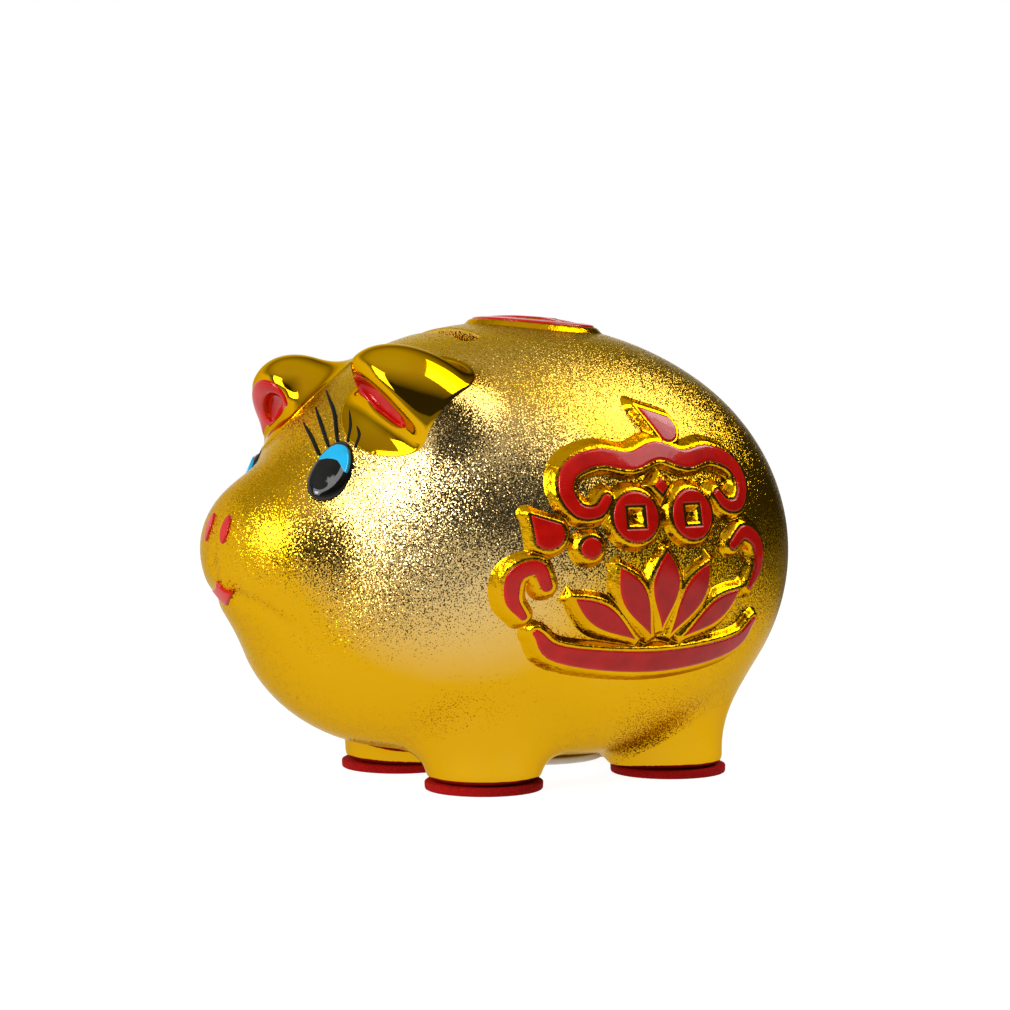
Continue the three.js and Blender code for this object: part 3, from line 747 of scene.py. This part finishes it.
def make_eyes():
    """Each eye's black dome, its blue iris and its five lashes."""
    rim = ellipse(0, 0, EYE_HALF_WIDTH + 0.4, EYE_HALF_HEIGHT + 0.4, EYE_TILT)
    inside_rim = ellipse(0, 0, EYE_HALF_WIDTH - 0.6, EYE_HALF_HEIGHT - 0.6, EYE_TILT)
    crescent = polygon(IRIS, 5)

    def blue(u, v):
        return np.maximum(crescent(u, v), inside_rim(u, v))

    for side, (centre, normal, lash_scale) in EYE_PLACES.items():
        low, high = node_box(f"{side}_eye", 2.5)
        form = feature(rim, centre, normal, -0.8, 1.4, 3.4)
        dome = surface_mesh(f"{side}_eye_skin", form, low, high, ENAMEL_VOXEL)
        place(dome, "black_enamel", replaces=[f"{side}_eye"])
        form = feature(blue, centre, normal, 0.0, 1.5, 0.3)
        iris = surface_mesh(f"{side}_iris_skin", form, low, high, LINE_VOXEL)
        place(iris, "blue_enamel", replaces=[f"{side}_iris"])
        for i, points in enumerate(LASHES):
            start = np.array(points[0])
            shorter = start + lash_scale * (np.array(points) - start)
            outline = stroke(shorter, (0.42, 0.46, 0.1))
            low_lash, high_lash = node_box(f"{side}_lash_{i + 1}", 2)
            form = feature(outline, centre, normal, -0.4, 0.3, 0.15)
            lash = surface_mesh(f"{side}_lash_{i + 1}_skin", form, low_lash, high_lash, LINE_VOXEL)
            place(lash, "black_paint", replaces=[f"{side}_lash_{i + 1}"])


MOUTH = [
    (0, 3.2), (-1.2, 1.9), (-2.8, 0.9), (-5.2, 0.3), (-3.2, -1.2), (-1.4, -2.4),
    (0, -3.3), (1.4, -2.4), (3.2, -1.2), (5.2, 0.3), (2.8, 0.9), (1.2, 1.9),
]


def make_snout_paint():
    """The two nostrils and the mouth."""
    form = feature(ellipse(0, 0, 1.6, 3.5), NOSTRIL_CENTRE, NOSTRIL_NORMAL, -0.5, 0.4, 0.4)
    piece = surface_mesh("nostril", form, (1, -84, 57), (9, -70, 71), LINE_VOXEL)
    place_pair(piece, "nostril_skin", "red_enamel")

    form = feature(polygon(MOUTH), MOUTH_CENTRE, MOUTH_NORMAL, -0.5, 0.5, 0.4)
    piece = surface_mesh("mouth_skin", form, (-8, -84, 42), (8, -68, 55), LINE_VOXEL)
    place(piece, "red_enamel", replaces=["mouth"])


def flank_coordinates(p):
    return p[..., 1] - FLANK_Y, p[..., 2] - FLANK_Z


def back_coordinates(p):
    return p[..., 0], p[..., 1] - BACK_COIN_Y


def smooth_step(x, low, high):
    t = np.clip((x - low) / (high - low), 0, 1)
    return t * t * (3 - 2 * t)


def relief(outline, coordinates, crest):
    """Gilded relief that stands crest above the trunk inside an outline, and slopes down outside it."""
    def distance(p):
        flat = outline(*coordinates(p))
        rise = (crest + RELIEF_SINK) * (1 - smooth_step(flat, 0.0, RELIEF_SLOPE)) - RELIEF_SINK
        height = trunk(p)
        sheet = np.maximum((height - rise) * SLOPE_CAUTION, -(height + RELIEF_ROOT))
        return np.maximum(sheet, flat - RELIEF_SLOPE - 0.1)

    return distance


def filling(outline, coordinates, crest, inset, proud):
    """Enamel on the relief, inset from the outline and standing proud of the crest."""
    def distance(p):
        flat = outline(*coordinates(p))
        return smooth_cut(flat + inset, layer(p, crest - FILLING_DEPTH, crest + proud), FILLING_EDGE)

    return distance


def flank_outline(u, v):
    d = np.full(np.shape(u), FAR, np.float32)
    for shape in FLANK.values():
        d = np.minimum(d, shape(u, v))
    return d


def make_flank():
    """The gilded relief of each flank, and an enamel filling on each of its shapes."""
    form = relief(flank_outline, flank_coordinates, RELIEF_HEIGHT)
    piece = surface_mesh("relief", form, (36, -34, 28), (64, 44, 98), RELIEF_VOXEL)
    place_pair(piece, "flank_relief", "relief_gold", replaces=False)

    for name, shape in FLANK.items():
        low, high = node_box(f"left_flank_{name}", 2.5)
        form = filling(shape, flank_coordinates, RELIEF_HEIGHT, 0.35, 0.35)
        piece = surface_mesh(name, form, low, high, ENAMEL_VOXEL)
        place_pair(piece, f"flank_{name}_skin", "red_enamel")


def back_coin_outline(u, v):
    """A round coin with four windows and a round hole."""
    reach = np.hypot(u, v)
    angle = np.abs((np.arctan2(v, u) + math.pi / 4) % (math.pi / 2) - math.pi / 4)
    rim_width, window_inside, hole_radius, half_spoke = 3.6, 6.6, 3.4, 1.5
    spoke = reach * np.sin(np.minimum(angle, math.pi / 4)) - half_spoke
    window = np.maximum(np.maximum(reach - (BACK_COIN_RADIUS - rim_width), window_inside - reach), -spoke)
    rim = np.maximum(reach - BACK_COIN_RADIUS, hole_radius - reach)
    return np.maximum(rim, -window)


def make_back_coin():
    """The gilded relief of the coin on the back, and the enamel on it."""
    form = relief(back_coin_outline, back_coordinates, BACK_RELIEF_HEIGHT)
    piece = surface_mesh("back_relief", form, (-18, -9, 100), (18, 27, 115), RELIEF_VOXEL)
    place(piece, "relief_gold")

    form = filling(back_coin_outline, back_coordinates, BACK_RELIEF_HEIGHT, 0.3, 0.4)
    piece = surface_mesh("back_coin_skin", form, (-18, -9, 104), (18, 27, 115), RELIEF_VOXEL)
    place(piece, "red_enamel", replaces=["back_coin"])


def revolve(name, profile, x, y, sides=72):
    """A turned piece from a profile of (radius, height) points, closed on its axis."""
    points, faces = [], []
    ring = [(r, z) for r, z in profile if r > 0]
    for r, z in ring:
        for k in range(sides):
            turn = 2 * math.pi * k / sides
            points.append((x + r * math.cos(turn), y + r * math.sin(turn), z))
    for j in range(len(ring) - 1):
        for k in range(sides):
            a, b = j * sides + k, j * sides + (k + 1) % sides
            faces.append((a, b, b + sides, a + sides))
    for level, z in ((0, profile[0][1]), (len(ring) - 1, profile[-1][1])):
        centre = len(points)
        points.append((x, y, z))
        for k in range(sides):
            a, b = level * sides + k, level * sides + (k + 1) % sides
            faces.append((centre, b, a) if level == 0 else (centre, a, b))
    return add_mesh(name, points, faces)


def rounded(corners, radius, steps=5):
    """A profile with every corner between its two ends rounded off."""
    corners = [np.array(c, float) for c in corners]
    line = [corners[0]]
    for before, corner, after in zip(corners, corners[1:], corners[2:]):
        cut = min(radius, np.linalg.norm(before - corner) / 2.01, np.linalg.norm(after - corner) / 2.01)
        a = corner + (before - corner) / np.linalg.norm(before - corner) * cut
        b = corner + (after - corner) / np.linalg.norm(after - corner) * cut
        for t in np.linspace(0, 1, steps):
            line.append((1 - t) ** 2 * a + 2 * t * (1 - t) * corner + t * t * b)
    line.append(corners[-1])
    return [tuple(point) for point in line]


def make_pads():
    profile = rounded([(0, 0), (PAD_RADIUS, 0), (PAD_RADIUS + 0.1, PAD_THICKNESS), (0, PAD_THICKNESS)], 0.5)
    for end, y in (("front", FOOT_FRONT_Y), ("rear", FOOT_REAR_Y)):
        for side, x in (("left", FOOT_X), ("right", -FOOT_X)):
            node_name = f"{end}_{side}_foot_pad"
            pad = revolve(f"{node_name}_felt", profile, x, y)
            place(pad, "pad_felt", replaces=[node_name])


def make_stopper():
    """A soft plug: a flange with a dimple underneath, and a stem that is hollow at the top."""
    under, seat, stem_top, cup_floor = 3.3, 4.9, 12.5, 9.4
    flange_radius, stem_foot, stem_radius, cup_radius = 17.5, 14.3, 14.2, 12.2
    dimple_top, dimple_radius, dimple_mouth = under + 2.5, 6, 7.5
    profile = rounded([
        (0, dimple_top), (dimple_radius, dimple_top), (dimple_mouth, under), (flange_radius, under),
        (flange_radius, seat), (stem_foot, seat), (stem_radius, stem_top), (cup_radius, stem_top),
        (cup_radius, cup_floor), (0, cup_floor),
    ], 0.6)
    plug = revolve("belly_stopper_rubber", profile, 0, BELLY_HOLE_Y, 96)
    place(plug, "stopper_rubber", body="stopper", replaces=["belly_stopper"])


def make_tail():
    """A little curl that lies against the rump and thins out towards its end."""
    turns = np.radians(np.linspace(205, -165, 60))
    share = np.linspace(0, 1, len(turns))
    reach = TAIL_CURL * (1 - 0.45 * share)
    (_, torso_y, torso_z), (_, torso_length, torso_height) = TORSO
    rump = torso_y + torso_length * math.sqrt(1 - ((TAIL_HEIGHT - torso_z) / torso_height) ** 2)
    behind = rump + TAIL_STAND + TAIL_TUBE + TAIL_RISE * share
    line = np.stack([-reach * np.cos(turns), behind, TAIL_HEIGHT + reach * np.sin(turns)], axis=-1)
    widths = TAIL_TUBE * (1.15 - 0.6 * share)

    def tube(p):
        d = np.full(p.shape[:-1], FAR, np.float32)
        for a, b, wa, wb in zip(line[:-1], line[1:], widths[:-1], widths[1:]):
            axis = b - a
            along = np.clip((p - a) @ axis / (axis @ axis), 0, 1)
            reach_out = np.linalg.norm(p - a - along[..., None] * axis, axis=-1)
            d = np.minimum(d, reach_out - (wa + (wb - wa) * along))
        height = trunk(p)
        grown = smooth_union(height + 0.2, d, TAIL_FILLET)
        return np.maximum(np.maximum(grown, d - TAIL_FILLET), -(height + 1.2))

    piece = surface_mesh("tail_curl", tube, (-9, 66, 53), (9, 81, 71), RELIEF_VOXEL)
    place(piece, "mirror_gold", replaces=["tail"])


# Stage, camera and light ----------------------------------------------------------------------

# In metres: how far the bright table top reaches, and how far its edge takes to darken.
TABLE_REACH, TABLE_FADE = 0.16, 0.1
# The brightness in reflections of the table top, and of the floor past its edge.
TABLE_LEVEL, FLOOR_LEVEL = 0.8, 0.05
TABLE_EDGES = ((0.857, -0.515, 0), (0.1, 0.995, 0))

CAMERA_AZIMUTH, CAMERA_ELEVATION, CAMERA_DISTANCE = 58.7, 8.66, 0.8138
CAMERA_CENTRE, CAMERA_TARGET = (0, 0.007, 0), (-0.0112, 0.0077, 0.0652)
CAMERA_LENS, CAMERA_SENSOR = 116.0, 36


def white_to_camera(tree, level):
    """A brightness that is level in reflections and 1 to the camera."""
    seen = node(tree, "ShaderNodeLightPath").outputs["Is Camera Ray"]
    return combined(tree, [level, seen], "MAXIMUM")


def make_stage():
    """A floor that is white to the camera. In reflections it is dark past two edges of a table top."""
    reach = 900
    corners = [(-reach, -reach, 0), (reach, -reach, 0), (reach, reach, 0), (-reach, reach, 0)]
    floor = add_mesh("floor", corners, [(0, 1, 2, 3)])
    m, tree, shader = material("paper", (0.12, 0.12, 0.12), 0.0, 0.9)
    spot = on_object(tree)
    levels = []
    for direction in TABLE_EDGES:
        ahead = node(tree, "ShaderNodeVectorMath", {0: spot, 1: direction}, operation="DOT_PRODUCT")
        levels.append(remap(tree, ahead.outputs["Value"],
                            TABLE_REACH, TABLE_REACH + TABLE_FADE, TABLE_LEVEL, FLOOR_LEVEL))
    strength = white_to_camera(tree, combined(tree, levels, "MINIMUM"))
    tree.links.new(strength, shader.inputs["Emission Strength"])
    shader.inputs["Emission Color"].default_value = (0.94, 0.94, 0.94, 1)
    floor.data.materials.append(m)


def look_at(thing, target):
    direction = Vector(target) - thing.location
    thing.rotation_euler = direction.to_track_quat("-Z", "Y").to_euler()


def make_camera():
    """The camera, on the photo's side of the pig. Azimuth runs from -Y towards +X."""
    azimuth, elevation = math.radians(CAMERA_AZIMUTH), math.radians(CAMERA_ELEVATION)
    back = Vector((math.sin(azimuth) * math.cos(elevation), -math.cos(azimuth) * math.cos(elevation),
                   math.sin(elevation)))
    data = bpy.data.cameras.new("camera")
    data.lens = CAMERA_LENS
    data.sensor_width = CAMERA_SENSOR
    data.clip_start = 0.01
    camera = bpy.data.objects.new("camera", data)
    bpy.context.scene.collection.objects.link(camera)
    camera.location = Vector(CAMERA_CENTRE) + back * CAMERA_DISTANCE
    look_at(camera, CAMERA_TARGET)
    bpy.context.scene.camera = camera


def softbox(name, location, target, size, power):
    data = bpy.data.lights.new(name, "AREA")
    data.shape = "RECTANGLE"
    data.size, data.size_y = size
    data.energy = power
    light = bpy.data.objects.new(name, data)
    bpy.context.scene.collection.objects.link(light)
    light.location = location
    look_at(light, target)
    light.visible_camera = False


def aimed(azimuth, elevation, distance=1.0):
    """An offset in a direction. Azimuth runs anticlockwise from +X, seen from above."""
    azimuth, elevation = math.radians(azimuth), math.radians(elevation)
    return Vector((math.cos(azimuth) * math.cos(elevation), math.sin(azimuth) * math.cos(elevation),
                   math.sin(elevation))) * distance


def make_world():
    """A dark studio with a bright wall and ceiling in its reflections, all of it white to the camera."""
    world = bpy.data.worlds.new("studio")
    bpy.context.scene.world = world
    world.use_nodes = True
    tree = world.node_tree
    direction = node(tree, "ShaderNodeTexCoord").outputs["Generated"]
    height = node(tree, "ShaderNodeSeparateXYZ", {0: direction}).outputs[2]
    ceiling = remap(tree, height, 0.45, 0.9, 0.03, 0.55)
    toward_wall = node(tree, "ShaderNodeVectorMath",
                       {0: direction, 1: aimed(-160, 0)}, operation="DOT_PRODUCT")
    beside = remap(tree, toward_wall.outputs["Value"], 0.35, 0.6, 0.0, 1.0)
    below = remap(tree, height, 0.4, 0.65, 0.9, 0.3)
    wall = combined(tree, [beside, below], "MULTIPLY")
    strength = white_to_camera(tree, combined(tree, [ceiling, wall], "MAXIMUM"))
    tree.links.new(strength, tree.nodes["Background"].inputs["Strength"])
    tree.nodes["Background"].inputs["Color"].default_value = (1, 1, 1, 1)


def make_lights():
    """Area lights given by direction, distance, size and radiance."""
    middle = Vector((0, 0, 0.06))
    for name, direction, size, radiance in (
        ("front_softbox", (-75, 25, 1.0), (0.5, 0.8), 4.5),
        ("front_softbox_core", (-75, 25, 0.97), (0.2, 0.3), 15),
        ("rear_softbox", (65, 50, 1.0), (0.9, 0.55), 3.2),
        ("rear_softbox_core", (85, 42, 0.97), (0.3, 0.3), 4),
    ):
        power = radiance * math.pi * size[0] * size[1]
        softbox(name, middle + aimed(*direction), middle, size, power)
    bpy.context.scene.view_settings.view_transform = "Standard"


make_stage()
make_camera()
make_world()
make_lights()
make_body()
make_ears()
make_eyes()
make_snout_paint()
make_flank()
make_back_coin()
make_pads()
make_stopper()
make_tail()
